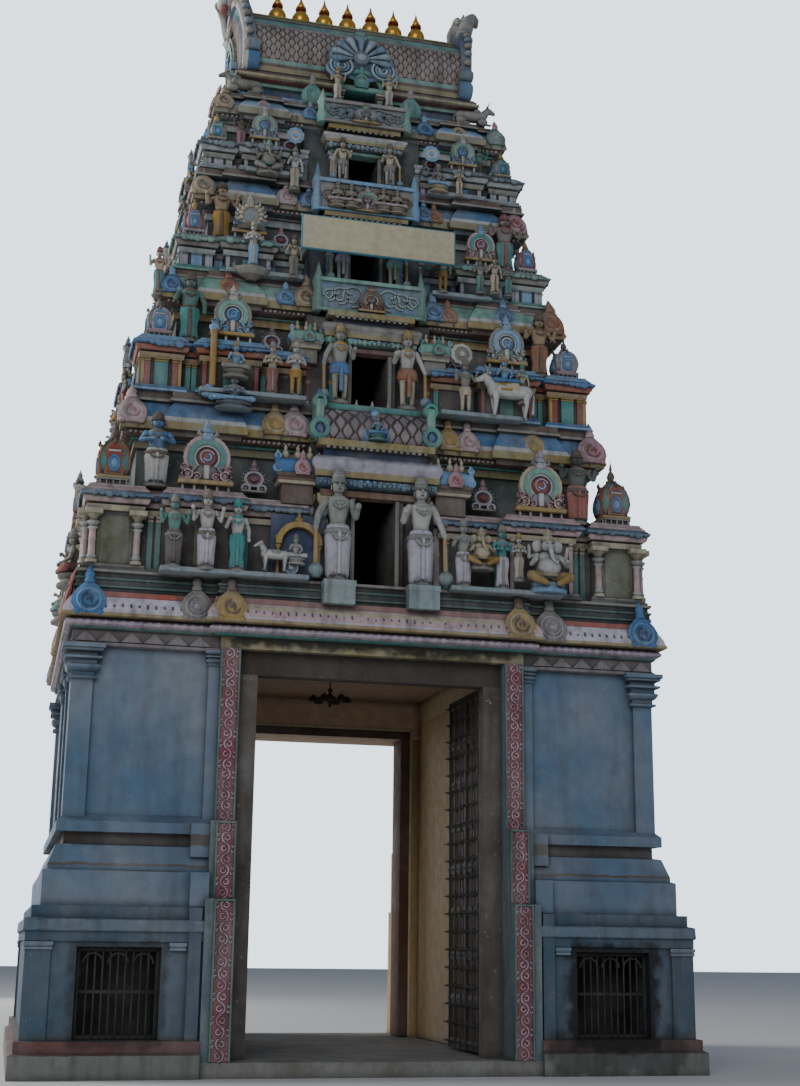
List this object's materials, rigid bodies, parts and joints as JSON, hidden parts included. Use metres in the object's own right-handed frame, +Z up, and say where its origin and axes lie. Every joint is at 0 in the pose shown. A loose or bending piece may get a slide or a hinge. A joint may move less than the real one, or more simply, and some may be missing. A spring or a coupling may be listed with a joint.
{
  "type": "gopuram",
  "caption": "Temple gateway tower with a moulded base, gate passage with two leaves, stepped sculpted storeys, barrel roof and ridge finials.",
  "frame": {"origin": "middle of the footprint at ground level", "axes": "+Z up, -Y towards the street front, +X to the right seen from the front"},
  "size_m": [9.58, 7.14, 18.5103],
  "materials": {
    "slate_wall": "limewashed slate blue, weathered",
    "painted_stucco": "many-coloured paint on lime stucco, weathered",
    "roof_stucco": "painted lime stucco, stained",
    "jamb_paint": "red paint with pale scrolls on stone",
    "ochre_band": "mottled ochre paint on stone",
    "hall_plaster": "cream-yellow limewash",
    "floor_stone": "worn granite",
    "old_wood": "dark oiled old timber",
    "iron": "painted, rusty iron",
    "gilt_metal": "gilded, bright",
    "sign_paint": "cream paint with a teal edge"
  },
  "bodies": {
    "root": {"plinth_left": "slate_wall", "base_wall_left": "slate_wall", "jamb_left": "jamb_paint", "door_post_left": "hall_plaster", "back_jamb_left": "jamb_paint", "plinth_right": "slate_wall", "base_wall_right": "slate_wall", "jamb_right": "jamb_paint", "door_post_right": "hall_plaster", "back_jamb_right": "jamb_paint", "front_lintel": "ochre_band", "door_lintel": "hall_plaster", "back_lintel": "hall_plaster", "passage_floor": "floor_stone", "main_cornice": "painted_stucco", "tier1_wall_right": "painted_stucco", "tier1_wall_left": "painted_stucco", "tier1_porch_front": "painted_stucco", "tier1_porch_back": "painted_stucco", "tier1_cornice": "painted_stucco", "tier2_wall_right": "painted_stucco", "tier2_wall_left": "painted_stucco", "tier2_porch_front": "painted_stucco", "tier2_porch_back": "painted_stucco", "tier2_cornice": "painted_stucco", "tier3_wall_right": "painted_stucco", "tier3_wall_left": "painted_stucco", "tier3_porch_front": "painted_stucco", "tier3_porch_back": "painted_stucco", "tier3_cornice": "painted_stucco", "tier4_wall_right": "painted_stucco", "tier4_wall_left": "painted_stucco", "tier4_porch_front": "painted_stucco", "tier4_porch_back": "painted_stucco", "tier4_cornice": "painted_stucco", "neck_storey": "painted_stucco", "neck_cornice": "painted_stucco", "barrel_roof": "roof_stucco", "ridge_beam": "roof_stucco", "gable_right": "roof_stucco", "gable_left": "roof_stucco", "kalasam_1": "gilt_metal", "kalasam_2": "gilt_metal", "kalasam_3": "gilt_metal", "kalasam_4": "gilt_metal", "kalasam_5": "gilt_metal", "kalasam_6": "gilt_metal", "kalasam_7": "gilt_metal", "sign_board": "sign_paint"},
    "leaf_left": {"gate_leaf_left": "old_wood"},
    "leaf_right": {"gate_leaf_right": "old_wood"}
  },
  "joints": [
    {"name": "leaf_left_hinge", "type": "hinge", "parent": "root", "child": "leaf_left", "pos_m": [-1.795, -2.63, 0.2], "axis": [0, 0, -1], "range_deg": [0, 90]},
    {"name": "leaf_right_hinge", "type": "hinge", "parent": "root", "child": "leaf_right", "pos_m": [1.795, -2.63, 0.2], "axis": [0, 0, 1], "range_deg": [0, 90]}
  ]
}
